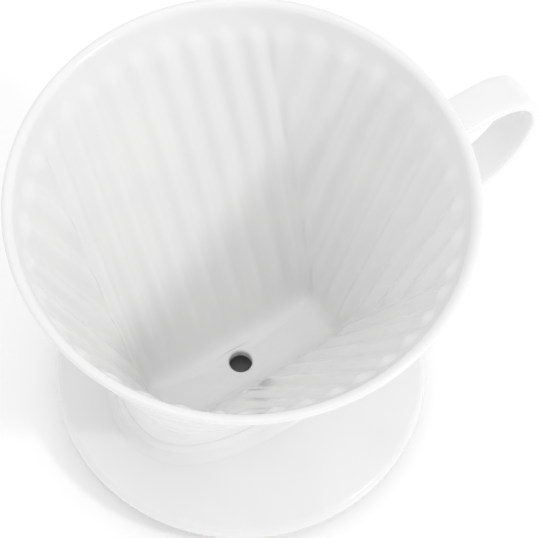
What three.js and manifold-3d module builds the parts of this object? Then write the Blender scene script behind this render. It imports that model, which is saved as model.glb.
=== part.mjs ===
// Pour-over dripper: a ribbed porcelain filter cone on an oval neck and a round saucer, with a strap handle.
// Millimetres, +Z up. The origin is on the cone's upright axis, in the plane that the ring stands on.
// +X runs along the length of the wedge-shaped floor, towards the handle.
import * as THREE from "three";
import { mergeVertices } from "three/addons/utils/BufferGeometryUtils.js";
import Module from "manifold-3d";

// --- Driving dimensions ---
const RIM_RADIUS = 62.5; // outside of the round rim
const RIM_HEIGHT = 105; // top of the lip
const WALL = 3; // cone wall, measured level
const LIP = 1.5; // radius of the rounded lip
const FLOOR_HEIGHT = 13.3; // upper face of the floor
const FLOOR_HALF_LENGTH = 26.5;
const FLOOR_HALF_WIDTH = 7.6;
const FLOOR_THICKNESS = 4;
const NEAR_CORNER = THREE.MathUtils.degToRad(55.8); // where the corners reach the rim, from the handle
const FAR_CORNER = THREE.MathUtils.degToRad(60); // the same at the other end, from there
const DRAIN_RADIUS = 3.15;

const RIB_RADIUS = 1.7; // round section of a rib
const RIB_SUNK = 0.6; // how far its centre lies inside the wall
const RIB_TOP = 99.5; // height at which the ribs end, below the lip
const RIB_FOOT = FLOOR_HEIGHT + 2.2;
const SIDE_RIBS = 4; // ribs from the middle of a long side to its corner rib
const END_RIBS = 5; // ribs from the middle of an end towards the corner rib
const END_RIB_STOP = THREE.MathUtils.degToRad(10.3); // between the last one and the corner, at the rim
const END_RIB_MARGIN = THREE.MathUtils.degToRad(1); // between an end rib's foot and the corner rib

const SAUCER_RADIUS = 50.8;
const SAUCER_UNDERSIDE = 5.5;
const SAUCER_EDGE_THICKNESS = 4.4;
const SAUCER_CROWN = 12; // height of the saucer's top at its middle
const NECK_HALF_LENGTH = 35.2;
const NECK_HALF_WIDTH = 20.6;
const NECK_POWER = 2.5; // exponent of the neck's squared oval, where 2 gives an ellipse
const NECK_TOP = 33; // above the line where the cone's wall comes out of the neck
const RING_OUTER = 34.5; // locating ring that drops inside the mouth of a mug
const RING_INNER = 31;
const RING_SEAT = 0.4; // shallow step in the saucer's underside that centres the ring
const RING_CHAMFER = 0.6;

const STRAP_WIDTH = 11.4;
const STRAP_THICKNESS = 3.4;
const STRAP_BEVEL = 1;
const STRAP_TOP = 86.5; // upper face of the handle's top run
const STRAP_CORNER = new THREE.Vector2(76.3, 70.5); // centre of the upper bend
const STRAP_CORNER_RADIUS = STRAP_TOP - STRAP_CORNER.y;
const STRAP_LOOP = new THREE.Vector2(65.2, 73); // centre of the long lower bend
const STRAP_LOOP_RADIUS = STRAP_CORNER_RADIUS + STRAP_CORNER.distanceTo(STRAP_LOOP);
const STRAP_SLOPE = THREE.MathUtils.degToRad(15.5); // fall of the lower run towards the cone
const STRAP_OUTER_START = 45; // the runs are made long, and cut back by the cone
const STRAP_INNER_END = 36;
const STRAP_STEPS = 7; // steps per radian round the bends
const UPPER_BEAD = [5, 8, 4.8]; // half-sizes of the beads of slip that join the strap to the cone
const LOWER_BEAD = [5.6, 8, 5];

const JOINT_GAP = 0.3; // clearance between neighbouring pieces
const END_STEPS = 11; // steps round half of the cone's end
const SIDE_STEPS = 8; // steps round half of its long side
const AROUND = 4 * (END_STEPS + SIDE_STEPS);
const WALL_STEPS = 5; // steps up the cone's wall
const LIP_STEPS = 4;
const RIB_SIDES = 6;
const DRAIN_SIDES = 24;
const SAUCER_STEPS = 6; // steps round the saucer's edge, and across its top
const BEAD_SIDES = [28, 16]; // steps round and down a bead of slip

const wasm = await Module();
wasm.setup();

// --- Solids: three.js geometry in, manifold solid for cutting and joining, geometry out ---
function toSolid(geometry) {
  const bare = geometry.index ? geometry.toNonIndexed() : geometry.clone();
  for (const name of Object.keys(bare.attributes)) {
    if (name !== "position") bare.deleteAttribute(name);
  }
  const merged = mergeVertices(bare, 1e-4);
  return new wasm.Manifold(new wasm.Mesh({
    numProp: 3,
    vertProperties: new Float32Array(merged.attributes.position.array),
    triVerts: new Uint32Array(merged.index.array),
  }));
}

function toGeometry(solid) {
  const mesh = solid.getMesh();
  const geometry = new THREE.BufferGeometry();
  geometry.setAttribute("position", new THREE.BufferAttribute(mesh.vertProperties, 3));
  geometry.setIndex(new THREE.BufferAttribute(mesh.triVerts, 1));
  geometry.computeVertexNormals();
  return geometry;
}

function stepped(from, to, steps) {
  return Array.from({ length: steps + 1 }, (_, i) => THREE.MathUtils.lerp(from, to, i / steps));
}

// --- Wedge sections: straight lines run up from the slot-shaped floor to the round rim ---
const halfTurns = [
  ...stepped(0, NEAR_CORNER, END_STEPS),
  ...stepped(NEAR_CORNER, Math.PI - FAR_CORNER, 2 * SIDE_STEPS).slice(1, -1),
  ...stepped(Math.PI - FAR_CORNER, Math.PI, END_STEPS),
];
const turns = [...halfTurns, ...halfTurns.slice(1, -1).reverse().map((turn) => -turn)];

function riseAt(height) {
  return THREE.MathUtils.clamp((height - FLOOR_HEIGHT) / (RIM_HEIGHT - LIP - FLOOR_HEIGHT), 0, 1);
}

// The inner wall's point on the line that reaches the rim at a turn from the handle. Each side shares out
// its stretch of the floor's edge evenly between its lines.
function wedgePoint(turn, rise) {
  const sideMiddle = (NEAR_CORNER + Math.PI - FAR_CORNER) / 2;
  const sideHalf = (Math.PI - NEAR_CORNER - FAR_CORNER) / 2;
  const along = (sideMiddle - Math.abs(turn)) / sideHalf;
  const across = along > 0 ? Math.abs(turn) / NEAR_CORNER : (Math.PI - Math.abs(turn)) / FAR_CORNER;
  const foot = new THREE.Vector2(
    FLOOR_HALF_LENGTH * THREE.MathUtils.clamp(along, -1, 1),
    FLOOR_HALF_WIDTH * Math.min(1, across) * Math.sign(turn),
  );
  const rim = new THREE.Vector2(Math.cos(turn), Math.sin(turn)).multiplyScalar(RIM_RADIUS - WALL);
  return foot.lerp(rim, rise);
}

// A level section of the wall, moved outwards. Its corners are eased a little, most of all at the floor.
function wedgeSection(height, offset) {
  const rise = riseAt(height);
  const sharp = turns.map((turn) => wedgePoint(turn, rise));
  const eased = sharp.map((point, i) => {
    const between = sharp.at(i - 1).clone().lerp(sharp[(i + 1) % AROUND], 0.5);
    return point.clone().lerp(between, (1 - rise) / 2);
  });
  const normals = eased.map((point, i) => {
    const edge = eased[(i + 1) % AROUND].clone().sub(point).normalize();
    return new THREE.Vector2(edge.y, -edge.x);
  });
  return eased.map((point, i) => {
    const outward = normals[i].clone().add(normals.at(i - 1)).normalize();
    return point.addScaledVector(outward, offset);
  });
}

// A turned shape whose level sections are stretched into the wedge's. Its rows say how far each lies
// outside the inner wall, and at what height. The first and last rows close on the axis.
function wedgeLathe(rows) {
  const loops = rows.map(({ offset, height }) => wedgeSection(height, offset));
  const profile = rows.map(({ height }) => new THREE.Vector2(1, height));
  profile.unshift(new THREE.Vector2(0, rows[0].height));
  profile.push(new THREE.Vector2(0, rows.at(-1).height));
  const geometry = new THREE.LatheGeometry(profile, AROUND).rotateX(Math.PI / 2);
  const place = geometry.attributes.position;
  for (let i = 0; i < place.count; i += 1) {
    const loop = loops[(i % profile.length) - 1];
    const point = loop ? loop[Math.floor(i / profile.length) % AROUND] : new THREE.Vector2();
    place.setXY(i, point.x, point.y);
  }
  return geometry;
}

// The cone's outside, grown by a margin, as one solid from below the floor to above the rim.
function coneEnvelope(margin) {
  const bottom = FLOOR_HEIGHT - FLOOR_THICKNESS - margin;
  const levels = [bottom, ...stepped(FLOOR_HEIGHT, RIM_HEIGHT - LIP, WALL_STEPS), RIM_HEIGHT];
  return toSolid(wedgeLathe(levels.map((height) => ({ offset: WALL + margin, height }))));
}

// --- Filter cone ---
function coneShell() {
  const top = RIM_HEIGHT - LIP;
  const levels = stepped(FLOOR_HEIGHT, top, WALL_STEPS);
  const lip = stepped(0, Math.PI, LIP_STEPS).slice(1, -1).map((turn) => ({
    offset: WALL - LIP + LIP * Math.cos(turn),
    height: top + LIP * Math.sin(turn),
  }));
  return toSolid(wedgeLathe([
    { offset: WALL, height: FLOOR_HEIGHT - FLOOR_THICKNESS },
    ...levels.map((height) => ({ offset: WALL, height })),
    ...lip,
    ...levels.toReversed().map((height) => ({ offset: 0, height })),
  ]));
}

// A rib's line down the wall, where turnAt(height) says which of the wall's lines it lies on.
function ribLine(turnAt, foot) {
  return stepped(RIB_TOP, foot, 2).map((height) => {
    const point = wedgePoint(turnAt(height), riseAt(height));
    return new THREE.Vector3(point.x, point.y, height);
  });
}

// Side ribs follow the wall's straight lines, from one corner of a long side to the other.
function sideRibLine(index) {
  const share = (index + SIDE_RIBS) / (2 * SIDE_RIBS);
  const turn = THREE.MathUtils.lerp(NEAR_CORNER, Math.PI - FAR_CORNER, share);
  return ribLine(() => turn, RIB_FOOT);
}

// The value between two ends at which a rising measure reaches a target.
function solve(measure, target, from, to) {
  let [low, high] = [from, to];
  for (let i = 0; i < 40; i += 1) {
    const middle = (low + high) / 2;
    if (measure(middle) < target) low = middle;
    else high = middle;
  }
  return low;
}

// End ribs fan out from the far side of the rim and run out against the corner ribs. The place is a
// share of the end's half, so the end's own line at that share is found by halving.
function endRibLine(index, corner, lineTurn) {
  const fan = (share, height) => {
    const point = wedgePoint(lineTurn(share), riseAt(height));
    return Math.atan2(point.y, Math.abs(point.x) + RIM_RADIUS - WALL);
  };
  const angle = (index / END_RIBS) * ((corner - END_RIB_STOP) / 2);
  const foot = solve((height) => fan(1, height), angle + END_RIB_MARGIN, FLOOR_HEIGHT, RIB_TOP);
  const turnAt = (height) => lineTurn(solve((share) => fan(share, height), angle, 0, 1));
  return ribLine(turnAt, Math.max(RIB_FOOT, foot));
}

function ribSolid(line, side) {
  const points = line.map((p) => {
    const outward = new THREE.Vector2(p.x, p.y).normalize().multiplyScalar(RIB_SUNK);
    return new THREE.Vector3(p.x + outward.x, (p.y + outward.y) * side, p.z);
  });
  const section = new THREE.Shape(stepped(0, 2 * Math.PI, RIB_SIDES).slice(0, RIB_SIDES).map(
    (turn) => new THREE.Vector2(RIB_RADIUS * Math.cos(turn), RIB_RADIUS * Math.sin(turn)),
  ));
  const path = new THREE.CatmullRomCurve3(points);
  return toSolid(new THREE.ExtrudeGeometry(section, { steps: 2, extrudePath: path }));
}

// Each line is mirrored to the other side of the handle's plane. A rib in that plane has one copy.
function ribs() {
  const nearLine = (share) => share * NEAR_CORNER;
  const farLine = (share) => Math.PI - share * FAR_CORNER;
  const solids = [];
  for (const side of [1, -1]) {
    for (let i = -SIDE_RIBS; i <= SIDE_RIBS; i += 1) solids.push(ribSolid(sideRibLine(i), side));
    for (let i = side > 0 ? 0 : 1; i <= END_RIBS; i += 1) {
      solids.push(ribSolid(endRibLine(i, NEAR_CORNER, nearLine), side));
      solids.push(ribSolid(endRibLine(i, FAR_CORNER, farLine), side));
    }
  }
  return solids;
}

function filterCone() {
  const drain = new THREE.CylinderGeometry(DRAIN_RADIUS, DRAIN_RADIUS, 3 * FLOOR_THICKNESS, DRAIN_SIDES)
    .rotateX(Math.PI / 2).translate(0, 0, FLOOR_HEIGHT);
  return ribs().reduce((cone, rib) => cone.add(rib), coneShell()).subtract(toSolid(drain));
}

// --- Neck: an upright oval collar between the saucer and the sloping cone ---
function squaredOval(turn) {
  const along = Math.abs(Math.cos(turn)) ** (2 / NECK_POWER) * Math.sign(Math.cos(turn));
  const across = Math.abs(Math.sin(turn)) ** (2 / NECK_POWER) * Math.sign(Math.sin(turn));
  return new THREE.Vector2(NECK_HALF_LENGTH * along, NECK_HALF_WIDTH * across);
}

function neckCollar() {
  const outline = new THREE.Shape(stepped(0, 2 * Math.PI, AROUND).slice(1).map(squaredOval));
  const base = SAUCER_CROWN + JOINT_GAP;
  const prism = new THREE.ExtrudeGeometry(outline, { depth: NECK_TOP - base, bevelEnabled: false })
    .translate(0, 0, base);
  return toSolid(prism).subtract(coneEnvelope(JOINT_GAP));
}

// --- Saucer: a crowned disc with a rounded edge, open under the cone's floor ---
function saucerFlange() {
  const round = SAUCER_EDGE_THICKNESS / 2;
  const fall = SAUCER_CROWN - SAUCER_UNDERSIDE - SAUCER_EDGE_THICKNESS;
  const seat = RING_OUTER + JOINT_GAP;
  const edge = stepped(-Math.PI / 2, Math.PI / 2, SAUCER_STEPS).map((turn) => new THREE.Vector2(
    SAUCER_RADIUS - round + round * Math.cos(turn),
    SAUCER_UNDERSIDE + round + round * Math.sin(turn),
  ));
  const top = stepped(1, 0, SAUCER_STEPS).slice(1).map((share) => new THREE.Vector2(
    (SAUCER_RADIUS - round) * share,
    SAUCER_CROWN - fall * share ** 3,
  ));
  const profile = [
    new THREE.Vector2(0, SAUCER_UNDERSIDE + RING_SEAT),
    new THREE.Vector2(seat, SAUCER_UNDERSIDE + RING_SEAT),
    new THREE.Vector2(seat, SAUCER_UNDERSIDE),
    ...edge,
    ...top,
  ];
  const disc = toSolid(new THREE.LatheGeometry(profile, AROUND).rotateX(Math.PI / 2));
  const outline = new THREE.Shape(wedgeSection(FLOOR_HEIGHT, WALL + JOINT_GAP));
  const opening = new THREE.ExtrudeGeometry(outline, { depth: 2 * SAUCER_CROWN, bevelEnabled: false });
  return disc.subtract(toSolid(opening)).subtract(coneEnvelope(JOINT_GAP));
}

function locatingRing() {
  const top = SAUCER_UNDERSIDE + RING_SEAT - JOINT_GAP;
  const profile = [
    [RING_INNER + RING_CHAMFER, 0], [RING_OUTER - RING_CHAMFER, 0], [RING_OUTER, RING_CHAMFER],
    [RING_OUTER, top], [RING_INNER, top], [RING_INNER, RING_CHAMFER], [RING_INNER + RING_CHAMFER, 0],
  ].map(([x, y]) => new THREE.Vector2(x, y));
  return toSolid(new THREE.LatheGeometry(profile, AROUND).rotateX(Math.PI / 2));
}

// --- Handle: a flat strap bent into an open loop, joined to the cone with slip at both ends ---
function arcPoints(centre, radius, from, to) {
  return stepped(from, to, Math.ceil(Math.abs(to - from) * STRAP_STEPS)).map(
    (turn) => new THREE.Vector2(centre.x + radius * Math.cos(turn), centre.y + radius * Math.sin(turn)),
  );
}

// One face of the strap: level top run, upper bend, long lower bend, then a straight run down to the cone.
function strapEdge(depth) {
  const meet = Math.atan2(STRAP_CORNER.y - STRAP_LOOP.y, STRAP_CORNER.x - STRAP_LOOP.x);
  const leave = STRAP_SLOPE - Math.PI / 2;
  const loop = arcPoints(STRAP_LOOP, STRAP_LOOP_RADIUS - depth, meet, leave);
  const last = loop.at(-1);
  const drop = (last.x - STRAP_INNER_END) * Math.tan(STRAP_SLOPE);
  return [
    new THREE.Vector2(STRAP_OUTER_START, STRAP_TOP - depth),
    ...arcPoints(STRAP_CORNER, STRAP_CORNER_RADIUS - depth, Math.PI / 2, meet).slice(0, -1),
    ...loop,
    new THREE.Vector2(STRAP_INNER_END, last.y - drop),
  ];
}

function strapSolid() {
  const outline = new THREE.Shape([...strapEdge(0), ...strapEdge(STRAP_THICKNESS).reverse()]);
  const strap = new THREE.ExtrudeGeometry(outline, {
    depth: STRAP_WIDTH - 2 * STRAP_BEVEL,
    bevelThickness: STRAP_BEVEL,
    bevelSize: STRAP_BEVEL,
    bevelOffset: -STRAP_BEVEL,
    bevelSegments: 2,
  }).translate(0, 0, -STRAP_WIDTH / 2 + STRAP_BEVEL).rotateX(Math.PI / 2);
  return toSolid(strap);
}

function handleStrap() {
  return strapSolid().subtract(coneEnvelope(JOINT_GAP));
}

function handleEndReach(height) {
  return wedgePoint(0, riseAt(height)).x + WALL;
}

// Height at which the middle of the strap's lower run meets the cone.
function lowerJoint() {
  const radius = STRAP_LOOP_RADIUS - STRAP_THICKNESS / 2;
  const x = STRAP_LOOP.x + radius * Math.sin(STRAP_SLOPE);
  const z = STRAP_LOOP.y - radius * Math.cos(STRAP_SLOPE);
  const clearance = (height) => x - (z - height) / Math.tan(STRAP_SLOPE) - handleEndReach(height);
  return solve(clearance, 0, FLOOR_HEIGHT, z);
}

// A collar of slip round one end of the strap, cut back from the strap and the cone.
function handleLute(radii, height, slope) {
  const wall = handleEndReach(height);
  const ball = new THREE.SphereGeometry(1, ...BEAD_SIDES).scale(...radii).translate(wall, 0, height);
  const width = STRAP_WIDTH + 2 * JOINT_GAP;
  const thickness = STRAP_THICKNESS + 2 * JOINT_GAP;
  const slot = new THREE.BoxGeometry(6 * radii[0], width, thickness)
    .rotateY(-slope).translate(wall, 0, height);
  return toSolid(ball).subtract(coneEnvelope(JOINT_GAP)).subtract(toSolid(slot));
}

// --- Assembly ---
const glaze = () => new THREE.MeshStandardMaterial({ color: 0xf2f2f1, roughness: 0.12, metalness: 0 });
const bisque = () => new THREE.MeshStandardMaterial({ color: 0xe8e6e1, roughness: 0.7, metalness: 0 });

const pieces = {
  filter_cone: [filterCone, glaze],
  neck_collar: [neckCollar, glaze],
  saucer_flange: [saucerFlange, glaze],
  locating_ring: [locatingRing, bisque],
  handle_strap: [handleStrap, glaze],
  handle_upper_lute: [() => handleLute(UPPER_BEAD, STRAP_TOP - STRAP_THICKNESS / 2, 0), glaze],
  handle_lower_lute: [() => handleLute(LOWER_BEAD, lowerJoint(), STRAP_SLOPE), glaze],
};

const dripper = new THREE.Group();
for (const [name, [build, finish]] of Object.entries(pieces)) {
  const mesh = new THREE.Mesh(toGeometry(build()), finish());
  mesh.name = name;
  dripper.add(mesh);
}

export default dripper;
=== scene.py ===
"""Pour-over dripper in white glazed porcelain.

A ribbed wedge-shaped filter cone stands on an oval neck and a round saucer, and carries a strap handle.
Each sub-assembly is a class that works out its surfaces with numpy and dresses them with a finish.
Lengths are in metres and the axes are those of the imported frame: +X towards the handle and +Z up.
"""

import logging
import math
from dataclasses import dataclass
from enum import Enum

import bpy
import numpy as np
from mathutils import Matrix, Vector


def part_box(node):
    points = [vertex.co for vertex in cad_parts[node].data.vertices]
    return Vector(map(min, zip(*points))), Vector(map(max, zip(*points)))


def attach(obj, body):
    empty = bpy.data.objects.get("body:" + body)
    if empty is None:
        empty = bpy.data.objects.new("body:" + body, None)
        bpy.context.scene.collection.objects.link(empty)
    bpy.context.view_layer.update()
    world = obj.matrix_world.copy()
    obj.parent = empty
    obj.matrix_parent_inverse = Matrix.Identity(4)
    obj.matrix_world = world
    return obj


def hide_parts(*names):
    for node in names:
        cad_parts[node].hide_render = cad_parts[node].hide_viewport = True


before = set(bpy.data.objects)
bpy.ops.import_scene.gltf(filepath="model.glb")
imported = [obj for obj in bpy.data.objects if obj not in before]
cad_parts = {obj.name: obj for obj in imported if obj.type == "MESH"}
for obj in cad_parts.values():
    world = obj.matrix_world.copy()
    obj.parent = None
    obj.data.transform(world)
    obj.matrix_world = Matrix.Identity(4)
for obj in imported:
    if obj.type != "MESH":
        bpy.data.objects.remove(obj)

MM = 0.001
LIP_OVERHANG = 0.2 * MM  # how far the rounded lip leans out past the top of the outer wall
RING_WIDTH = 3.5 * MM  # level thickness of the locating ring
LOG = logging.getLogger("dripper")
Grid = np.ndarray  # rows x columns x 3


class Slot(Enum):
    """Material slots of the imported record."""

    GLAZE = "porcelain_glaze"
    FOOT = "bisque_foot"


class End(Enum):
    """The two ends of the handle strap."""

    UPPER = "upper"
    LOWER = "lower"


# ---------------------------------------------------------------- surfaces


def signed_volume(points: np.ndarray, quads: np.ndarray) -> float:
    """Six times the volume inside a closed quad mesh, positive where its faces point outwards.

    Args:
        points: Vertices, n x 3.
        quads: Vertex numbers, m x 4.

    Returns:
        The sum of the corner triple products of both triangles of each quad.
    """
    a, b, c, d = (points[quads[:, i]] for i in range(4))
    return float(np.sum(np.einsum("ij,ij->i", a, np.cross(b, c)) + np.einsum("ij,ij->i", a, np.cross(c, d))))


def mesh_piece(name: str, points: np.ndarray, quads: np.ndarray, caps: list[np.ndarray]) -> bpy.types.Object:
    """Makes a smooth-shaded object from quads and fans of triangles.

    Args:
        name: The piece's name.
        points: Vertices, n x 3, in metres.
        quads: Vertex numbers, m x 4.
        caps: Triangle lists, k x 3 each.

    Returns:
        The linked object, with its place in its mesh.
    """
    tris = np.concatenate(caps) if caps else np.zeros((0, 3), int)
    loops = np.concatenate([quads.ravel(), tris.ravel()]).astype(np.int32)
    sizes = np.concatenate([np.full(len(quads), 4), np.full(len(tris), 3)]).astype(np.int32)
    starts = np.concatenate([[0], np.cumsum(sizes)[:-1]]).astype(np.int32)
    mesh = bpy.data.meshes.new(name)
    mesh.vertices.add(len(points))
    mesh.vertices.foreach_set("co", points.astype(np.float32).ravel())
    mesh.loops.add(len(loops))
    mesh.loops.foreach_set("vertex_index", loops)
    mesh.polygons.add(len(sizes))
    mesh.polygons.foreach_set("loop_start", starts)
    mesh.polygons.foreach_set("use_smooth", np.ones(len(sizes), bool))
    mesh.update(calc_edges=True)
    mesh.validate()
    piece = bpy.data.objects.new(name, mesh)
    bpy.context.scene.collection.objects.link(piece)
    return piece


def closed_piece(name: str, grid: Grid, ring: bool) -> bpy.types.Object:
    """Makes a closed surface from a grid whose columns run all the way round.

    Args:
        name: The piece's name.
        grid: Rows x columns x 3. Each row is one closed loop.
        ring: True where the last row joins the first, as on a ring. Otherwise both end rows close in a fan.

    Returns:
        The object, with its faces pointing outwards.
    """
    rows, cols = grid.shape[:2]
    row = np.arange(rows if ring else rows - 1)[:, None]
    col = np.arange(cols)[None, :]
    above, beside = (row + 1) % rows, (col + 1) % cols
    corners = [row * cols + col, row * cols + beside, above * cols + beside, above * cols + col]
    quads = np.stack([np.broadcast_to(c, (len(row), cols)) for c in corners], -1).reshape(-1, 4)
    points = grid.reshape(-1, 3)
    caps: list[np.ndarray] = []
    if not ring:
        points = np.concatenate([points, grid[0].mean(0)[None], grid[-1].mean(0)[None]])
        around, onward = np.arange(cols), (np.arange(cols) + 1) % cols
        first, last = rows * cols, rows * cols + 1
        caps = [
            np.stack([np.full(cols, first), onward, around], -1),
            np.stack([np.full(cols, last), (rows - 1) * cols + around, (rows - 1) * cols + onward], -1),
        ]
    if signed_volume(points, quads) < 0:
        quads = quads[:, ::-1]
        caps = [cap[:, ::-1] for cap in caps]
    return mesh_piece(name, points, quads, caps)


def smoothstep(low: float, high: float, value: np.ndarray) -> np.ndarray:
    """Rises from 0 at low to 1 at high with level ends, as 3t^2 - 2t^3."""
    t = np.clip((value - low) / (high - low), 0.0, 1.0)
    return t * t * (3.0 - 2.0 * t)


def bend(start: np.ndarray, corner: np.ndarray, end: np.ndarray, steps: int) -> np.ndarray:
    """A rounded corner: a quadratic curve from start to end that is drawn towards the corner.

    Args:
        start: The row of points that the curve leaves.
        corner: The row of points where the two straight sides would meet.
        end: The row of points that the curve reaches.
        steps: Rows made, both ends included.

    Returns:
        steps x columns x 3, as (1-b)^2 start + 2b(1-b) corner + b^2 end.
    """
    b = np.linspace(0.0, 1.0, steps)[:, None, None]
    return (1 - b) ** 2 * start + 2 * b * (1 - b) * corner + b**2 * end


def with_height(plan: np.ndarray, height: np.ndarray | float) -> np.ndarray:
    """Adds a height to points in plan, as x, y, z."""
    return np.concatenate([plan, np.broadcast_to(height, plan.shape[:-1])[..., None]], -1)


def span(first: np.ndarray, last: np.ndarray, steps: int) -> np.ndarray:
    """Rows in even steps from the first row to the last, both included."""
    return first + np.linspace(0.0, 1.0, steps)[:, None, None] * (last - first)


# ---------------------------------------------------------------- finishes


def new_group(name: str, inputs: dict[str, float], outputs: dict[str, str]) -> bpy.types.NodeTree:
    """An empty shader node group with named number inputs, a Point input and named outputs.

    Args:
        name: The group's name.
        inputs: Number inputs and their usual values.
        outputs: Output names and their socket types.

    Returns:
        The group, with its input and output nodes in place.
    """
    group = bpy.data.node_groups.new(name, "ShaderNodeTree")
    group.interface.new_socket("Point", in_out="INPUT", socket_type="NodeSocketVector")
    for label, value in inputs.items():
        group.interface.new_socket(label, in_out="INPUT", socket_type="NodeSocketFloat").default_value = value
    for label, kind in outputs.items():
        group.interface.new_socket(label, in_out="OUTPUT", socket_type=kind)
    group.nodes.new("NodeGroupInput").name = "in"
    group.nodes.new("NodeGroupOutput").name = "out"
    return group


def noise(
    tree: bpy.types.NodeTree, point: bpy.types.NodeSocket, scale: float, detail: float
) -> bpy.types.Node:
    """A noise texture read at a point, with its scale in cycles per metre."""
    node = tree.nodes.new("ShaderNodeTexNoise")
    node.inputs["Scale"].default_value = scale
    node.inputs["Detail"].default_value = detail
    tree.links.new(point, node.inputs["Vector"])
    return node


def remap(
    tree: bpy.types.NodeTree,
    value: bpy.types.NodeSocket,
    low: float,
    high: float,
    to_low: float,
    to_high: float,
) -> bpy.types.NodeSocket:
    """Maps low..high of a value to to_low..to_high, held at both ends and eased between them."""
    node = tree.nodes.new("ShaderNodeMapRange")
    node.interpolation_type = "SMOOTHSTEP"
    for label, number in zip(("From Min", "From Max", "To Min", "To Max"), (low, high, to_low, to_high)):
        node.inputs[label].default_value = number
    tree.links.new(value, node.inputs["Value"])
    return node.outputs["Result"]


def arithmetic(
    tree: bpy.types.NodeTree,
    operation: str,
    first: bpy.types.NodeSocket,
    second: bpy.types.NodeSocket | float,
) -> bpy.types.NodeSocket:
    """One Math node on a socket and a second socket or number."""
    node = tree.nodes.new("ShaderNodeMath")
    node.operation = operation
    tree.links.new(first, node.inputs[0])
    if isinstance(second, float):
        node.inputs[1].default_value = second
    else:
        tree.links.new(second, node.inputs[1])
    return node.outputs[0]


def glaze_flow_group() -> bpy.types.NodeTree:
    """Slow waves where the glaze ran and settled, with a much finer skin: a height from 0 to 1."""
    group = new_group("glaze_flow", {"Broad": 55.0, "Fine": 900.0}, {"Height": "NodeSocketFloat"})
    source, sink = group.nodes["in"], group.nodes["out"]
    broad = noise(group, source.outputs["Point"], 55.0, 1.0)
    fine = noise(group, source.outputs["Point"], 900.0, 2.0)
    group.links.new(source.outputs["Broad"], broad.inputs["Scale"])
    group.links.new(source.outputs["Fine"], fine.inputs["Scale"])
    skin = arithmetic(group, "MULTIPLY", fine.outputs["Fac"], 0.015)
    group.links.new(arithmetic(group, "ADD", broad.outputs["Fac"], skin), sink.inputs["Height"])
    return group


def pin_speck_group() -> bpy.types.NodeTree:
    """Sparse dark pin specks fired into the clay: a mask that is 1 inside a speck.

    A cell pattern gives one point per cell, and only cells whose own random number is high keep their speck.
    """
    group = new_group("pin_specks", {"Scale": 90.0, "Size": 0.02}, {"Mask": "NodeSocketFloat"})
    source, sink = group.nodes["in"], group.nodes["out"]
    cells = group.nodes.new("ShaderNodeTexVoronoi")
    group.links.new(source.outputs["Point"], cells.inputs["Vector"])
    group.links.new(source.outputs["Scale"], cells.inputs["Scale"])
    inside = arithmetic(group, "SUBTRACT", source.outputs["Size"], cells.outputs["Distance"])
    dot = remap(group, inside, 0.0, 0.012, 0.0, 1.0)
    split = group.nodes.new("ShaderNodeSeparateColor")
    group.links.new(cells.outputs["Color"], split.inputs["Color"])
    chosen = remap(group, split.outputs["Red"], 0.93, 0.94, 0.0, 1.0)
    group.links.new(arithmetic(group, "MULTIPLY", dot, chosen), sink.inputs["Mask"])
    return group


@dataclass(frozen=True)
class PorcelainGlaze:
    """Clear gloss glaze over white porcelain: faint cloudiness, slow waves and a few pin specks."""

    name: str = "porcelain_glaze"
    light: tuple[float, float, float] = (0.905, 0.905, 0.9)
    shade: tuple[float, float, float] = (0.885, 0.886, 0.883)
    roughness: tuple[float, float] = (0.14, 0.2)
    wave_depth: float = 0.1 * MM

    def material(self, groups: dict[str, bpy.types.NodeTree]) -> bpy.types.Material:
        """Builds the material.

        Args:
            groups: The shared node groups by name.

        Returns:
            A Principled material that reads Object coordinates.
        """
        made = bpy.data.materials.new(self.name)
        made.use_nodes = True
        tree = made.node_tree
        shader = tree.nodes["Principled BSDF"]
        shader.inputs["IOR"].default_value = 1.5
        point = tree.nodes.new("ShaderNodeTexCoord").outputs["Object"]
        cloud = noise(tree, point, 38.0, 3.0).outputs["Fac"]
        tint = tree.nodes.new("ShaderNodeMix")
        tint.data_type = "RGBA"
        tree.links.new(remap(tree, cloud, 0.35, 0.65, 0.0, 1.0), tint.inputs["Factor"])
        tint.inputs["A"].default_value = (*self.shade, 1.0)
        tint.inputs["B"].default_value = (*self.light, 1.0)
        specks = tree.nodes.new("ShaderNodeGroup")
        specks.node_tree = groups["pin_specks"]
        tree.links.new(point, specks.inputs["Point"])
        speckled = tree.nodes.new("ShaderNodeMix")
        speckled.data_type = "RGBA"
        tree.links.new(specks.outputs["Mask"], speckled.inputs["Factor"])
        tree.links.new(tint.outputs["Result"], speckled.inputs["A"])
        speckled.inputs["B"].default_value = (0.16, 0.15, 0.14, 1.0)
        tree.links.new(speckled.outputs["Result"], shader.inputs["Base Color"])
        smear = noise(tree, point, 140.0, 2.0).outputs["Fac"]
        tree.links.new(remap(tree, smear, 0.3, 0.7, *self.roughness), shader.inputs["Roughness"])
        flow = tree.nodes.new("ShaderNodeGroup")
        flow.node_tree = groups["glaze_flow"]
        tree.links.new(point, flow.inputs["Point"])
        bump = tree.nodes.new("ShaderNodeBump")
        bump.inputs["Strength"].default_value = 1.0
        bump.inputs["Distance"].default_value = self.wave_depth
        tree.links.new(flow.outputs["Height"], bump.inputs["Height"])
        tree.links.new(bump.outputs["Normal"], shader.inputs["Normal"])
        return made


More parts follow.
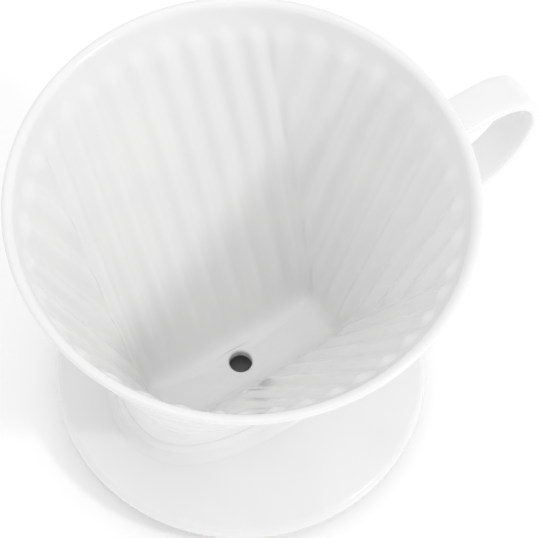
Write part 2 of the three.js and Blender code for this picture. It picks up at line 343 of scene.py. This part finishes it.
@dataclass(frozen=True)
class BisqueFoot:
    """The locating ring's finish: glaze on its sides, wiped back to bare matt clay on the foot face."""

    name: str = "bisque_foot"
    glaze: tuple[float, float, float] = (0.9, 0.9, 0.895)
    clay: tuple[float, float, float] = (0.80, 0.785, 0.75)
    wiped_height: float = 0.9 * MM

    def material(self, groups: dict[str, bpy.types.NodeTree]) -> bpy.types.Material:
        """Builds the material.

        Args:
            groups: The shared node groups by name.

        Returns:
            A Principled material whose glaze ends at a wavering line just above the foot.
        """
        made = bpy.data.materials.new(self.name)
        made.use_nodes = True
        tree = made.node_tree
        shader = tree.nodes["Principled BSDF"]
        point = tree.nodes.new("ShaderNodeTexCoord").outputs["Object"]
        split = tree.nodes.new("ShaderNodeSeparateXYZ")
        tree.links.new(point, split.inputs["Vector"])
        waver = arithmetic(tree, "MULTIPLY", noise(tree, point, 220.0, 2.0).outputs["Fac"], 0.5 * MM)
        level = arithmetic(tree, "ADD", split.outputs["Z"], waver)
        glazed = remap(tree, level, self.wiped_height, self.wiped_height + 0.25 * MM, 0.0, 1.0)
        grain = noise(tree, point, 2600.0, 3.0).outputs["Fac"]
        clay = tree.nodes.new("ShaderNodeMix")
        clay.data_type = "RGBA"
        tree.links.new(remap(tree, grain, 0.35, 0.65, 0.0, 1.0), clay.inputs["Factor"])
        clay.inputs["A"].default_value = (*(0.93 * c for c in self.clay), 1.0)
        clay.inputs["B"].default_value = (*self.clay, 1.0)
        colour = tree.nodes.new("ShaderNodeMix")
        colour.data_type = "RGBA"
        tree.links.new(glazed, colour.inputs["Factor"])
        tree.links.new(clay.outputs["Result"], colour.inputs["A"])
        colour.inputs["B"].default_value = (*self.glaze, 1.0)
        tree.links.new(colour.outputs["Result"], shader.inputs["Base Color"])
        tree.links.new(remap(tree, glazed, 0.0, 1.0, 0.72, 0.1), shader.inputs["Roughness"])
        bump = tree.nodes.new("ShaderNodeBump")
        bump.inputs["Distance"].default_value = 0.06 * MM
        tree.links.new(grain, bump.inputs["Height"])
        tree.links.new(remap(tree, glazed, 0.0, 1.0, 0.6, 0.02), bump.inputs["Strength"])
        tree.links.new(bump.outputs["Normal"], shader.inputs["Normal"])
        return made


# ---------------------------------------------------------------- the cone's form


@dataclass(frozen=True)
class WedgeForm:
    """The inside of the wedge: level sections that pass from a long slot at the floor to a round rim.

    Every section has two long sides and two ends. The four corners run from the floor's corners to the rim.
    """

    rim_radius: float
    rim_height: float
    wall: float = 3.0 * MM
    floor_height: float = 13.3 * MM
    floor_half_length: float = 26.5 * MM
    floor_half_width: float = 7.6 * MM
    near_corner: float = math.radians(55.8)  # where the corners reach the rim, counted from the handle
    far_corner: float = math.radians(60.0)  # the same at the other end, counted from there
    corner_softness: float = 1.7 * MM
    columns: int = 448

    @property
    def lip_radius(self) -> float:
        """Radius of the rounded lip, half the level thickness of the wall."""
        return self.wall / 2

    @property
    def lip_base(self) -> float:
        """Height at which the wall turns into the lip."""
        return self.rim_height - self.lip_radius

    @property
    def azimuth(self) -> np.ndarray:
        """Direction of each column where it reaches the rim."""
        return (np.arange(self.columns) + 0.5) * 2 * np.pi / self.columns

    def rise(self, height: np.ndarray) -> np.ndarray:
        """How far up the wall a height is: 0 at the floor and 1 at the lip."""
        return np.clip((height - self.floor_height) / (self.lip_base - self.floor_height), 0.0, 1.0)

    @property
    def from_handle(self) -> np.ndarray:
        """Angle between each column's direction and the handle's, 0 to pi, the same on both sides."""
        return np.arccos(np.clip(np.cos(self.azimuth), -1.0, 1.0))

    @property
    def side_middle(self) -> float:
        """Direction in which the middle of a long side reaches the rim, counted from the handle."""
        return (self.near_corner + math.pi - self.far_corner) / 2

    @property
    def side_half(self) -> float:
        """Half of the angle that a long side takes up at the rim."""
        return (math.pi - self.near_corner - self.far_corner) / 2

    def shares(self) -> tuple[np.ndarray, np.ndarray, np.ndarray]:
        """Where each column lies on its side.

        Returns:
            A mask of the columns on the long sides, their share of the way from the middle of the side to
            its corner (-1 to 1, positive towards the handle), and on the ends the share of the way from the
            middle of the end to its corner (0 to 1).
        """
        turn = self.from_handle
        along = (self.side_middle - turn) / self.side_half
        near, far = turn / self.near_corner, (math.pi - turn) / self.far_corner
        return np.abs(along) < 1.0, along, np.where(along > 0, near, far)

    def floor_outline(self) -> np.ndarray:
        """The slot-shaped floor, columns x 2: each side is shared out evenly between its columns."""
        long_side, along, across = self.shares()
        x = self.floor_half_length * np.clip(along, -1.0, 1.0)
        y = self.floor_half_width * np.where(long_side, 1.0, across) * np.sign(np.sin(self.azimuth))
        return np.stack([x, y], -1)

    def section(self, rise: np.ndarray) -> tuple[np.ndarray, np.ndarray]:
        """Level sections of the inside wall.

        Straight lines run from the floor's outline to the rim's circle. Each section's corners are then
        softened by a bell-shaped average along its length, taken with a Fourier transform.

        Args:
            rise: Shares of the way up the wall, one for each row.

        Returns:
            Points in plan, rows x columns x 2, and the level normals that point outwards.
        """
        radius = self.rim_radius - self.wall
        circle = radius * np.stack([np.cos(self.azimuth), np.sin(self.azimuth)], -1)
        t = rise[:, None, None]
        loft = (1 - t) * self.floor_outline() + t * circle
        loop = loft[..., 0] + 1j * loft[..., 1]
        wave = np.fft.fftfreq(self.columns, 1 / self.columns)
        girth = np.abs(np.diff(loop, axis=1, append=loop[:, :1])).sum(1)
        bell = np.exp(-0.5 * (wave * 2 * np.pi * self.corner_softness / girth[:, None]) ** 2)
        soft = np.fft.ifft(np.fft.fft(loop, axis=1) * bell, axis=1)
        along = np.fft.ifft(np.fft.fft(soft, axis=1) * 1j * wave, axis=1)
        normal = -1j * along / np.maximum(np.abs(along), 1e-9)
        return np.stack([soft.real, soft.imag], -1), np.stack([normal.real, normal.imag], -1)

    def outside(self, height: np.ndarray, offset: float = 0.0) -> np.ndarray:
        """Rows of the outer wall at given heights, moved outwards by an offset, rows x columns x 3."""
        plan, normal = self.section(self.rise(height))
        return with_height(plan + (self.wall + offset) * normal, height[:, None])

    def end_reach(self, across: np.ndarray, height: np.ndarray, offset: float) -> np.ndarray:
        """How far along +X the outer wall lies at a place on the handle's end.

        Args:
            across: Distances from the middle plane.
            height: Heights, of the same shape.
            offset: Distance that the wall is moved outwards.

        Returns:
            X for each place, read from a table of sections by straight interpolation.
        """
        levels = np.linspace(self.floor_height, self.lip_base, 90)
        facing = np.cos(self.azimuth) > 0.3
        order = np.argsort(np.where(self.azimuth > math.pi, self.azimuth - 2 * math.pi, self.azimuth)[facing])
        rows = self.outside(levels, offset)[:, facing][:, order]
        places = np.linspace(-14 * MM, 14 * MM, 57)
        table = np.stack([np.interp(places, row[:, 1], row[:, 0]) for row in rows])
        u = np.interp(across, places, np.arange(len(places)))
        v = np.interp(height, levels, np.arange(len(levels)))
        i, j = np.floor(v).astype(int), np.floor(u).astype(int)
        i, j = np.minimum(i, len(levels) - 2), np.minimum(j, len(places) - 2)
        fv, fu = v - i, u - j
        low = table[i, j] * (1 - fu) + table[i, j + 1] * fu
        high = table[i + 1, j] * (1 - fu) + table[i + 1, j + 1] * fu
        return low * (1 - fv) + high * fv


@dataclass(frozen=True)
class RibPattern:
    """Raised ribs that hold the paper filter off the wall.

    The long sides carry upright ribs and a strong rib in each corner. The ends carry shorter ribs that fan
    out from the far side of the rim and run out against the corner ribs. Every rib sinks near the floor.
    """

    height: float = 1.2 * MM
    side_steps: int = 4  # ribs from the middle of a long side to its corner
    end_steps: int = 5  # ribs from the middle of an end to the last one before its corner
    end_margin: float = math.radians(10.3)  # angle left at the rim between that one and the corner
    top: float = 100.2 * MM  # height of the ribs' rounded upper ends
    sharpness: float = 0.95
    joining: float = 2.5  # power of the sum that joins end ribs to a corner rib without a crease
    foot_share: float = 0.25  # part of a rib's height that is left where it meets the floor's fillet

    def crest(self, distance: np.ndarray) -> np.ndarray:
        """A rib's cross-section: a raised cosine of the distance in steps, drawn in to a narrower crest."""
        return (0.5 + 0.5 * np.cos(2 * np.pi * np.minimum(np.abs(distance), 0.5))) ** self.sharpness

    def relief(self, form: WedgeForm, plan: np.ndarray, height: np.ndarray) -> np.ndarray:
        """Height of the ribs over the bare wall.

        Args:
            form: The wedge that the ribs stand on.
            plan: The wall's points in plan, rows x columns x 2.
            height: The height of each row.

        Returns:
            Rows x columns, in metres.
        """
        long_side, along, across = form.shares()
        rise = form.rise(height)[:, None]
        radius = form.rim_radius - form.wall
        corner_turn = np.where(along > 0, form.near_corner, form.far_corner)
        side_length = (1 - rise) * form.floor_half_length + rise * radius * form.side_half
        end_length = (1 - rise) * form.floor_half_width + rise * radius * corner_turn
        pitch = side_length / self.side_steps
        past_top = np.maximum(0.0, height[:, None] - (self.top - 0.8 * pitch)) / (1.6 * pitch)

        side_place = along * self.side_steps
        fan = 2 * np.arctan2(np.abs(plan[..., 1]), np.abs(plan[..., 0]) + radius)
        end_place = fan * self.end_steps / (corner_turn - self.end_margin)
        from_corner = (1 - across) * end_length / pitch
        nearest = (side_place - np.round(side_place), end_place - np.round(end_place), from_corner)
        side, end, corner = (self.crest(np.hypot(distance, past_top)) for distance in nearest)
        run_out = smoothstep(0.25, 0.8, from_corner) * (end_place < self.end_steps + 0.5)
        joined = ((end * run_out) ** self.joining + corner**self.joining) ** (1 / self.joining)
        foot = self.foot_share + (1 - self.foot_share) * smoothstep(0.02, 0.14, rise)
        return self.height * foot * np.where(long_side, side, joined)


# ---------------------------------------------------------------- sub-assemblies


@dataclass
class FilterCone:
    """The ribbed cone, its rounded lip, and the floor with the drain hole: one closed surface."""

    form: WedgeForm
    ribs: RibPattern
    floor_thickness: float = 4.0 * MM
    drain_radius: float = 3.15 * MM
    drain_edge: float = 0.8 * MM
    fillet: float = 3.4 * MM
    dish: float = 0.35 * MM

    def inner_wall(self) -> np.ndarray:
        """The inside from the lip down to the top of the floor's fillet, ribs included.

        The bare wall is moved along its normal, which points into the cone, by the height of the ribs.
        """
        top, foot = self.form.lip_base, self.form.floor_height + self.fillet
        share = np.concatenate([np.linspace(0.0, 0.16, 24), np.linspace(0.16, 1.0, 58)[1:]])
        height = top + share * (foot - top)
        plan, _ = self.form.section(self.form.rise(height))
        bare = with_height(plan, height[:, None])
        down = np.gradient(bare, axis=0)
        around = (np.roll(bare, -1, 1) - np.roll(bare, 1, 1)) / 2
        normal = np.cross(down, around)
        normal /= np.linalg.norm(normal, axis=-1, keepdims=True)
        inward = np.where(np.sum(normal[..., :2] * plan, -1) > 0, -1.0, 1.0)
        lift = self.ribs.relief(self.form, plan, height)
        return bare + (inward * lift)[..., None] * normal

    def floor(self, wall_foot: np.ndarray) -> np.ndarray:
        """The fillet and the floor, from the foot of the wall in to the drain hole's rounded edge."""
        plan, normal = self.form.section(np.zeros(1))
        base = self.form.floor_height
        outline = with_height(plan[0], base)
        inset = with_height(plan[0] - self.fillet * normal[0], base)
        fillet = bend(wall_foot, outline, inset, 8)[1:]
        turn = np.arctan2(plan[0, :, 1], plan[0, :, 0])
        rim = (self.drain_radius + self.drain_edge) * np.stack([np.cos(turn), np.sin(turn)], -1)
        share = np.linspace(0.0, 1.0, 14)[1:, None, None]
        flat = (1 - share) * inset + share * with_height(rim, base)
        flat[..., 2] -= self.dish * np.sin(share[..., 0] * math.pi / 2) ** 2
        return np.concatenate([fillet, flat])

    def drain(self, edge: np.ndarray) -> np.ndarray:
        """The drain hole, from its rounded upper edge down through the floor to its rounded lower edge."""
        direction = edge[:, :2] / np.linalg.norm(edge[:, :2], axis=-1, keepdims=True)
        top, bottom = edge[0, 2], self.form.floor_height - self.floor_thickness
        turn = np.linspace(0.0, math.pi / 2, 6)[1:, None, None]
        radius = self.drain_radius + self.drain_edge * (1 - np.sin(turn))
        drop = self.drain_edge * (1 - np.cos(turn))
        upper = with_height(radius * direction, (top - drop)[..., 0])
        lower = with_height(radius[::-1] * direction, (bottom + drop)[::-1, :, 0])
        under = with_height((radius[0] + self.drain_edge) * direction, bottom)
        return np.concatenate([upper, lower, under[None]])

    def outer_wall(self) -> tuple[np.ndarray, np.ndarray]:
        """The underside from near the drain hole to the cone's foot, and the outside up to the lip."""
        bottom = self.form.floor_height - self.floor_thickness
        height = np.concatenate([[bottom], np.linspace(self.form.floor_height, self.form.lip_base, 84)])
        outside = self.form.outside(height)
        return span(outside[0] * [0.35, 0.35, 1.0], outside[0], 7)[:-1], outside

    def lip(self) -> np.ndarray:
        """The rounded lip, from the outer wall over to the inner wall.

        A half ellipse whose upright axis leans with the wall, so that it meets both faces without a crease:
        base + half the wall x (1 + cos b) outwards + the lip's radius x sin b along the wall's slope.
        """
        step = 0.02
        plan, normal = self.form.section(np.array([1 - step, 1.0]))
        slope = (plan[1] - plan[0]) / (step * (self.form.lip_base - self.form.floor_height))
        turn = np.linspace(0.0, math.pi, 19)[1:-1, None, None]
        level = plan[1] + self.form.wall / 2 * (1 + np.cos(turn)) * normal[1]
        climb = self.form.lip_radius * np.sin(turn)
        return with_height(level + climb * slope, self.form.lip_base + climb[..., 0])

    def build(self) -> bpy.types.Object:
        """Joins the stretches round the wall's profile: inside, floor, drain, underside, outside, lip."""
        inside = self.inner_wall()
        floor = self.floor(inside[-1])
        underside, outside = self.outer_wall()
        grid = np.concatenate([inside, floor, self.drain(floor[-1]), underside, outside, self.lip()])
        return closed_piece("cone_ribbed_porcelain", grid, ring=True)


@dataclass
class NeckCollar:
    """The upright squared oval that carries the cone, with a tight turn above and a skirt below."""

    form: WedgeForm
    saucer_top: "SaucerFlange"
    half_length: float = 35.2 * MM
    half_width: float = 20.6 * MM
    power: float = 2.5
    reach: float = 2.6 * MM  # length of the turn between the cone's wall and the neck
    flare: float = 3.4 * MM
    skirt: float = 4.2 * MM  # height of the skirt above the saucer
    groove: float = 0.9 * MM  # depth of the joint line above the skirt
    joint_reach: float = 1.5 * MM  # how far the joint line's turn spreads above and below it
    brow: float = 0.9 * MM  # how far the skirt stands out where that turn ends
    sunk: float = 0.12 * MM
    hidden_wall: float = 2.0 * MM  # depth of the ring's unseen inner face behind its outer one

    def meeting(self) -> tuple[np.ndarray, np.ndarray]:
        """Where each column of the cone's wall comes out of the neck.

        A place is on the neck where |x / half length|^p + |y / half width|^p = 1. The sum grows with height
        along a column, so the height is read off by straight interpolation.

        Returns:
            Points in plan, columns x 2, and their heights.
        """
        levels = np.linspace(self.form.floor_height, 0.5 * self.form.lip_base, 120)
        wall = self.form.outside(levels)
        size = [self.half_length, self.half_width]
        total = np.sum(np.abs(wall[..., :2] / size) ** self.power, -1)
        height = np.array([np.interp(1.0, total[:, i], levels) for i in range(self.form.columns)])
        columns = range(self.form.columns)
        plan = np.array([[np.interp(height[i], levels, wall[:, i, k]) for k in (0, 1)] for i in columns])
        return plan, height

    def build(self) -> bpy.types.Object:
        """A closed ring: from the cone down to the joint line, out over the skirt, and back inside."""
        plan, height = self.meeting()
        size = np.array([self.half_length, self.half_width])
        normal = np.sign(plan) * np.abs(plan / size) ** (self.power - 1) / size
        normal /= np.linalg.norm(normal, axis=-1, keepdims=True)
        column = np.arange(self.form.columns)
        above = self.form.outside(height + self.reach, -self.sunk)[column, column]
        below = with_height(plan, height - self.reach)
        turn = bend(above, with_height(plan, height), below, 10)
        level = self.saucer_top.top_height(np.linalg.norm(plan, axis=-1))
        flared = plan + self.flare * normal
        foot_level = self.saucer_top.top_height(np.linalg.norm(flared, axis=-1)) - self.sunk
        start = with_height(plan, level + self.skirt + self.joint_reach)
        joint = with_height(plan - self.groove * normal, level + self.skirt)
        brow = with_height(plan + self.brow * normal, level + self.skirt - self.joint_reach)
        knee = with_height(plan + 0.35 * self.flare * normal, level + 0.2 * self.skirt)
        dip = bend(start, joint, brow, 7)
        foot = np.concatenate([dip, bend(brow, knee, with_height(flared, foot_level), 10)[1:]])
        wall = span(below, start, 8)[1:-1]
        inner = plan - self.hidden_wall * normal
        buried = with_height(flared, foot_level - 1.0 * MM)
        lower = with_height(inner, self.saucer_top.crown - 1.5 * MM)
        upper = self.form.outside(height, -1.5 * MM)[column, column]
        hidden = np.stack([buried, lower, upper])
        return closed_piece("neck_oval_collar", np.concatenate([turn, wall, foot, hidden]), ring=True)


@dataclass
class SaucerFlange:
    """The round crowned saucer, with a rounded edge and a slot-shaped opening under the cone's floor."""

    form: WedgeForm
    radius: float
    underside: float
    edge_thickness: float = 4.4 * MM
    crown: float = 12.0 * MM
    opening_gap: float = 0.1 * MM

    def top_height(self, radius: np.ndarray) -> np.ndarray:
        """Height of the crowned top at a radius: level at the middle and falling as a smooth curve."""
        fall = self.crown - (self.underside + self.edge_thickness)
        share = np.clip(radius / (self.radius - self.edge_thickness / 2), 0.0, 1.0)
        return self.crown - fall * share**3

    def build(self) -> bpy.types.Object:
        """A closed ring: out over the top, round the edge, in below, and up the slot-shaped opening."""
        plan, normal = self.form.section(np.zeros(1))
        opening = plan[0] + (self.form.wall - self.opening_gap) * normal[0]
        direction = np.stack([np.cos(self.form.azimuth), np.sin(self.form.azimuth)], -1)
        round_ = self.edge_thickness / 2
        share = np.linspace(0.0, 1.0, 26)[:, None, None] ** 0.8
        top = (1 - share) * opening + share * (self.radius - round_) * direction
        top = with_height(top, self.top_height(np.linalg.norm(top, axis=-1)))
        turn = np.linspace(math.pi / 2, -math.pi / 2, 15)[1:, None, None]
        edge = with_height(
            (self.radius - round_ + round_ * np.cos(turn)) * direction,
            (self.underside + round_ + round_ * np.sin(turn))[..., 0],
        )
        share = np.linspace(0.0, 1.0, 14)[1:, None, None]
        rounding = 0.9 * MM
        mouth = opening + rounding * normal[0]
        below = with_height((1 - share) * (self.radius - round_) * direction + share * mouth, self.underside)
        corner = with_height(opening, self.underside)
        lip = bend(below[-1], corner, corner + [0.0, 0.0, rounding], 6)[1:]
        return closed_piece("saucer_crowned_disc", np.concatenate([top, edge, below, lip]), ring=True)


@dataclass
class LocatingRing:
    """The ring under the saucer that drops inside the mouth of a mug and serves as the foot."""

    outer: float
    inner: float
    top: float
    rounding: float = 0.9 * MM
    fillet: float = 1.4 * MM
    columns: int = 360

    def profile(self) -> np.ndarray:
        """Radius and height round the section: rounded foot edges, straight sides and upper fillets."""
        turn = np.linspace(0.0, math.pi / 2, 7)
        r, f = self.rounding, self.fillet
        outer_foot = np.stack([self.outer - r + r * np.sin(turn), r - r * np.cos(turn)], -1)
        outer_top = np.stack([self.outer + f - f * np.cos(turn), self.top - f + f * np.sin(turn)], -1)
        mirrored = [[self.outer + self.inner - p[0], p[1]] for p in np.concatenate([outer_foot, outer_top])]
        cap = [[self.outer + f, self.top + 0.6 * MM], [self.inner - f, self.top + 0.6 * MM]]
        return np.concatenate([outer_foot, outer_top, cap, mirrored[::-1]])

    def build(self) -> bpy.types.Object:
        """Turns the section round the upright axis."""
        turn = np.arange(self.columns) * 2 * math.pi / self.columns
        section = self.profile()
        grid = np.stack(
            [
                section[:, :1] * np.cos(turn),
                section[:, :1] * np.sin(turn),
                np.broadcast_to(section[:, 1:], (len(section), self.columns)),
            ],
            -1,
        )
        return closed_piece("locating_ring_foot", grid, ring=True)


@dataclass
class StrapHandle:
    """The flat strap bent into an open loop, and the beads of slip that join it to the cone."""

    form: WedgeForm
    width: float
    top: float
    thickness: float = 3.4 * MM
    corner: tuple[float, float] = (76.3 * MM, 70.5 * MM)
    loop: tuple[float, float] = (65.2 * MM, 73.0 * MM)
    slope: float = math.radians(15.5)
    squareness: float = 4.5
    buried: float = 1.6 * MM
    bead: float = 3.6 * MM
    bead_reach: float = 5.5 * MM
    columns: int = 72

    def centre_line(self) -> tuple[np.ndarray, np.ndarray]:
        """The strap's middle in the XZ plane, from the upper joint to the lower one.

        A level run, an arc round the upper bend, a longer arc round the loop, and a straight run that falls
        towards the cone at the strap's slope.

        Returns:
            Points and unit directions, n x 2.
        """
        half = self.thickness / 2
        corner, loop = np.array(self.corner), np.array(self.loop)
        corner_radius = self.top - self.corner[1]
        loop_radius = corner_radius + math.dist(self.corner, self.loop)
        meet = math.atan2(corner[1] - loop[1], corner[0] - loop[0])
        leave = self.slope - math.pi / 2
        start = self.form.end_reach(np.zeros(1), np.array([self.top - half]), 0.0)[0] - self.buried
        run = np.stack([np.linspace(start, corner[0], 24)[:-1], np.full(23, self.top - half)], -1)
        upper = np.linspace(math.pi / 2, meet, 36)
        lower = np.linspace(meet, leave, 60)[1:]
        upper_arc = corner + (corner_radius - half) * np.stack([np.cos(upper), np.sin(upper)], -1)
        lower_arc = loop + (loop_radius - half) * np.stack([np.cos(lower), np.sin(lower)], -1)
        fall = np.array([-math.cos(self.slope), -math.sin(self.slope)])
        reach = np.linspace(0.0, 50 * MM, 400)
        path = lower_arc[-1] + reach[:, None] * fall
        wall = self.form.end_reach(np.zeros(len(path)), path[:, 1], 0.0)
        length = reach[np.argmax(path[:, 0] < wall)] + self.buried
        tail = lower_arc[-1] + np.linspace(0.0, length, 26)[1:, None] * fall
        line = np.concatenate([run, upper_arc, lower_arc, tail])
        direction = np.gradient(line, axis=0)
        return line, direction / np.linalg.norm(direction, axis=1, keepdims=True)

    def outline(self) -> np.ndarray:
        """The strap's section, columns x 2: |y|^n + |z|^n = 1, with a high power n for its flat faces."""
        turn = np.arange(self.columns) * 2 * math.pi / self.columns
        wide, thick = np.cos(turn), np.sin(turn)
        power = 2 / self.squareness
        return np.stack([np.sign(wide) * np.abs(wide) ** power, np.sign(thick) * np.abs(thick) ** power], -1)

    def strap(self) -> bpy.types.Object:
        """Carries the section along the centre line. The line's normal lies in the XZ plane."""
        line, direction = self.centre_line()
        normal = np.stack([-direction[:, 1], direction[:, 0]], -1)
        section = self.outline() * [self.width / 2, self.thickness / 2]
        grid = np.stack(
            [
                line[:, None, 0] + normal[:, None, 0] * section[None, :, 1],
                np.broadcast_to(section[None, :, 0], (len(line), self.columns)),
                line[:, None, 1] + normal[:, None, 1] * section[None, :, 1],
            ],
            -1,
        )
        return closed_piece("handle_strap_loop", grid, ring=False)

    def lute(self, end: End) -> bpy.types.Object:
        """A bead of slip round one end of the strap.

        It leaves the strap's surface tangentially and spreads as a quarter circle to meet the cone's wall.

        Args:
            end: Which end of the strap.

        Returns:
            A closed piece that reaches just under both surfaces.
        """
        line, direction = self.centre_line()
        base, axis = (line[0], direction[0]) if end is End.UPPER else (line[-1], -direction[-1])
        base = base + self.buried * axis
        lift = np.array([-axis[1], axis[0]])
        shape = self.outline()
        turn = np.linspace(0.0, math.pi / 2, 14)
        spread = self.bead * (1 - np.sin(turn))
        out = self.bead_reach * (1 - np.cos(turn))
        around = np.arange(self.columns) * 2 * math.pi / self.columns
        rounded = np.stack([np.cos(around), np.sin(around)], -1)
        blend = (spread / self.bead)[:, None, None]
        half = np.array([self.width / 2, self.thickness / 2]) - 0.05 * MM
        size = half + spread[:, None]
        section = ((1 - blend) * shape + blend * rounded) * size[:, None, :]
        across, up = section[..., 0], section[..., 1]
        height = base[1] + up * lift[1]
        wall = self.form.end_reach(across, height, 0.0)
        x = wall + out[:, None] * axis[0]
        z = height + out[:, None] * axis[1]
        rows = np.stack([x, across, z], -1)
        sunk = rows[0] - [0.9 * MM, 0.0, 0.0]
        tip = rows[-1] * [1.0, 0.6, 1.0] + [0.2 * MM, 0.0, 0.0]
        tip[:, 2] = 0.4 * rows[-1][:, 2].mean() + 0.6 * rows[-1][:, 2]
        grid = np.concatenate([sunk[None], rows, tip[None]])
        return closed_piece(f"slip_bead_{end.value}", grid, ring=False)


# ---------------------------------------------------------------- studio


@dataclass(frozen=True)
class Studio:
    """A pale floor, soft light and the camera."""

    aim: tuple[float, float, float] = (0.0106, 0.0023, 0.0535)
    distance: float = 1.34
    elevation: float = math.radians(62.96)
    azimuth: float = math.radians(-34.0)  # the camera's right-hand direction in plan
    roll: float = math.radians(1.25)
    lens: float = 333.3
    key_bearing: float = math.radians(-25.0)  # from the camera's right hand, away from the camera
    key_elevation: float = math.radians(40.0)
    key_power: float = 4.4
    overhead_power: float = 2.0
    surround: float = 0.8
    painted_floor_glow: float = 0.14  # painted glow: light that the floor gives off itself outside the object's foot
    glow_from: float = 34 * MM
    glow_full: float = 54 * MM

    def camera(self) -> None:
        """Places the camera on its line of sight and turns it by its small roll."""
        data = bpy.data.cameras.new("camera")
        data.lens, data.sensor_width = self.lens, 36.0
        data.clip_start, data.clip_end = 0.05, 50.0
        camera = bpy.data.objects.new("camera", data)
        bpy.context.scene.collection.objects.link(camera)
        right = Vector((math.cos(self.azimuth), math.sin(self.azimuth), 0.0))
        ahead = Vector((-right.y, right.x, 0.0))
        back = -math.cos(self.elevation) * ahead + Vector((0.0, 0.0, math.sin(self.elevation)))
        turned = Matrix.Rotation(self.roll, 3, back) @ right
        over = back.cross(turned)
        basis = Matrix((turned, over, back)).transposed()
        place = Vector(self.aim) + self.distance * back
        camera.matrix_world = Matrix.Translation(place) @ basis.to_4x4()
        bpy.context.scene.camera = camera

    def floor(self) -> None:
        """A wide matt plane at the foot of the ring, with a painted glow: it gives off light itself, except
        under the object.
        """
        half = 6.0
        mesh = bpy.data.meshes.new("floor")
        corners = [(-half, -half, 0.0), (half, -half, 0.0), (half, half, 0.0), (-half, half, 0.0)]
        mesh.from_pydata(corners, [], [(0, 1, 2, 3)])
        floor = bpy.data.objects.new("floor", mesh)
        bpy.context.scene.collection.objects.link(floor)
        paint = bpy.data.materials.new("studio_floor")
        paint.use_nodes = True
        shader = paint.node_tree.nodes["Principled BSDF"]
        shader.inputs["Base Color"].default_value = (0.93, 0.93, 0.93, 1.0)
        shader.inputs["Roughness"].default_value = 0.9
        shader.inputs["Emission Color"].default_value = (1.0, 1.0, 1.0, 1.0)
        tree = paint.node_tree
        point = tree.nodes.new("ShaderNodeTexCoord").outputs["Object"]
        away = tree.nodes.new("ShaderNodeVectorMath")
        away.operation = "LENGTH"
        tree.links.new(point, away.inputs[0])
        # painted glow: emission rises from none under the object to full strength beyond it
        painted_floor_glow = remap(tree, away.outputs["Value"], self.glow_from, self.glow_full, 0.0, self.painted_floor_glow)
        tree.links.new(painted_floor_glow, shader.inputs["Emission Strength"])
        mesh.materials.append(paint)

    def area(self, name: str, direction: Vector, away: float, size: float, power: float) -> None:
        """A square soft light that faces the object.

        Args:
            name: The light's name.
            direction: Where it stands, seen from the object.
            away: Its distance.
            size: The side of the square.
            power: Its power in watts.
        """
        data = bpy.data.lights.new(name, "AREA")
        data.shape, data.size, data.energy = "SQUARE", size, power
        lamp = bpy.data.objects.new(name, data)
        bpy.context.scene.collection.objects.link(lamp)
        unit = direction.normalized()
        lamp.location = Vector((0.0, 0.0, 0.06)) + away * unit
        lamp.rotation_mode = "QUATERNION"
        lamp.rotation_quaternion = unit.to_track_quat("Z", "Y")

    def light(self) -> None:
        """A small key from the camera's right, a soft overhead light and a bright even surround."""
        scene = bpy.context.scene
        right = Vector((math.cos(self.azimuth), math.sin(self.azimuth), 0.0))
        ahead = Vector((-right.y, right.x, 0.0))
        level = math.cos(self.key_bearing) * right + math.sin(self.key_bearing) * ahead
        key = math.cos(self.key_elevation) * level + Vector((0.0, 0.0, math.sin(self.key_elevation)))
        self.area("key_light", key, 1.6, 0.2, self.key_power)
        self.area("overhead_soft", Vector((0.0, 0.0, 1.0)), 1.3, 0.9, self.overhead_power)
        world = bpy.data.worlds.new("surround")
        world.use_nodes = True
        world.node_tree.nodes["Background"].inputs["Color"].default_value = (1.0, 1.0, 1.0, 1.0)
        world.node_tree.nodes["Background"].inputs["Strength"].default_value = self.surround
        scene.world = world
        scene.view_settings.view_transform = "Standard"


def dress(
    piece: bpy.types.Object, finish: bpy.types.Material, nodes: tuple[str, ...]
) -> bpy.types.Object:
    """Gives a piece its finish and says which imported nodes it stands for.

    Args:
        piece: The finished mesh.
        finish: Its material.
        nodes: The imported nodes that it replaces.

    Returns:
        The same piece.
    """
    piece.data.materials.append(finish)
    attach(piece, "root")
    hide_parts(*nodes)
    LOG.info("%s: %d faces, stands for %s", piece.name, len(piece.data.polygons), ", ".join(nodes))
    return piece


def main() -> None:
    """Builds the sub-assemblies in order, dresses them, and sets up the studio."""
    logging.basicConfig(level=logging.INFO, format="%(message)s")
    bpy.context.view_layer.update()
    groups = {"glaze_flow": glaze_flow_group(), "pin_specks": pin_speck_group()}
    glaze = PorcelainGlaze().material(groups)
    foot = BisqueFoot().material(groups)

    cone_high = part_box("filter_cone")[1]
    form = WedgeForm(rim_radius=cone_high.y - LIP_OVERHANG, rim_height=cone_high.z)
    dress(FilterCone(form, RibPattern()).build(), glaze, ("filter_cone",))
    saucer_low, saucer_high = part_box("saucer_flange")
    saucer = SaucerFlange(form, radius=saucer_high.y, underside=saucer_low.z)
    dress(NeckCollar(form, saucer).build(), glaze, ("neck_collar",))
    dress(saucer.build(), glaze, ("saucer_flange",))
    ring_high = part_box("locating_ring")[1]
    ring = LocatingRing(outer=ring_high.y, inner=ring_high.y - RING_WIDTH, top=saucer_low.z)
    dress(ring.build(), foot, ("locating_ring",))
    strap_low, strap_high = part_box("handle_strap")
    handle = StrapHandle(form, width=strap_high.y - strap_low.y, top=strap_high.z)
    dress(handle.strap(), glaze, ("handle_strap",))
    for end in End:
        dress(handle.lute(end), glaze, (f"handle_{end.value}_lute",))

    studio = Studio()
    studio.camera()
    studio.floor()
    studio.light()


if __name__ == "__main__":
    main()
